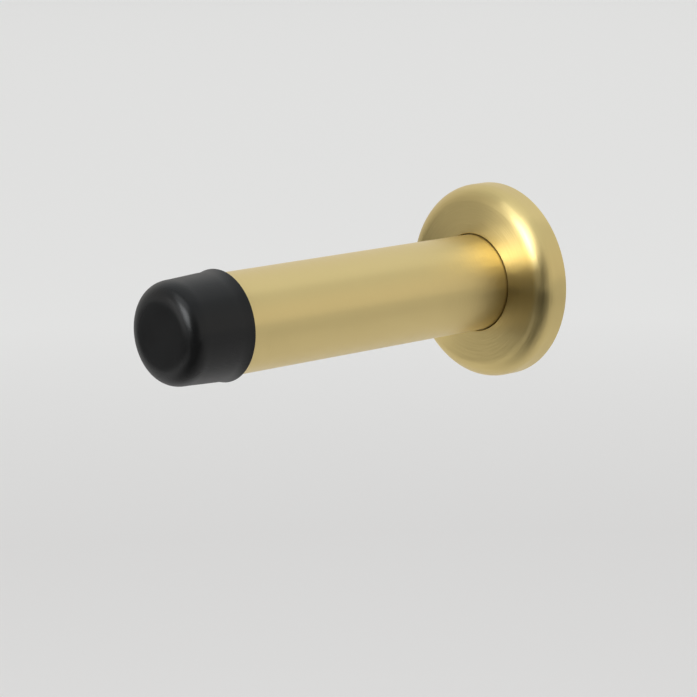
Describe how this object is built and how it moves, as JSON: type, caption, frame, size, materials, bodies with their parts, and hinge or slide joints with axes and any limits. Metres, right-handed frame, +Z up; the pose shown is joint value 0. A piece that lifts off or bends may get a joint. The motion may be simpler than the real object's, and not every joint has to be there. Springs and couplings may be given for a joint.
{
  "type": "door stop",
  "caption": "Wall-mounted projection door stop: a satin brass tube on a round rose, with a rubber buffer on its free end and a concealed screw fixing.",
  "frame": {"origin": "the point where the stop's axis meets the wall, at the centre of the mounting plate's rear face", "axes": "-Y out of the wall along the stop's axis, +Y into the wall, +Z up the wall, +X along the wall"},
  "size_m": [0.0384, 0.0946, 0.0384],
  "materials": {
    "brass_tube": "satin brushed round the tube",
    "brass_rose": "satin, turned in circles",
    "brass_insert": "machined and knurled",
    "buffer_rubber": "smooth matt moulded black",
    "ring_rubber": "smooth black",
    "plate_steel": "zinc plated",
    "fastener_steel": "bright zinc plated"
  },
  "bodies": {
    "wall_fixing": {"mounting_plate": "plate_steel", "wood_screw_1": "fastener_steel", "wood_screw_2": "fastener_steel", "wood_screw_3": "fastener_steel", "threaded_stud": "fastener_steel", "grip_ring": "ring_rubber"},
    "washer": {"lock_washer": "fastener_steel"},
    "tube_unit": {"tube": "brass_tube", "tube_insert": "brass_insert"},
    "rose": {"rose_cover": "brass_rose"},
    "buffer": {"rubber_buffer": "buffer_rubber"}
  },
  "joints": [
    {"name": "thread_travel", "type": "slide", "parent": "wall_fixing", "child": "washer", "axis": [0, -1, 0], "range_m": [0, 0.008]},
    {"name": "tube_unscrew", "type": "hinge", "parent": "washer", "child": "tube_unit", "pos_m": [0, 0, 0], "axis": [0, -1, 0], "range_deg": [0, 2304]},
    {"name": "rose_slide", "type": "slide", "parent": "wall_fixing", "child": "rose", "axis": [0, -1, 0], "range_m": [0, 0.065]},
    {"name": "buffer_pull", "type": "slide", "parent": "tube_unit", "child": "buffer", "axis": [0, -1, 0], "range_m": [0, 0.01]}
  ],
  "couplings": [
    {"joint": "tube_unscrew", "follows": "thread_travel", "rad_per_m": 5026.5}
  ]
}
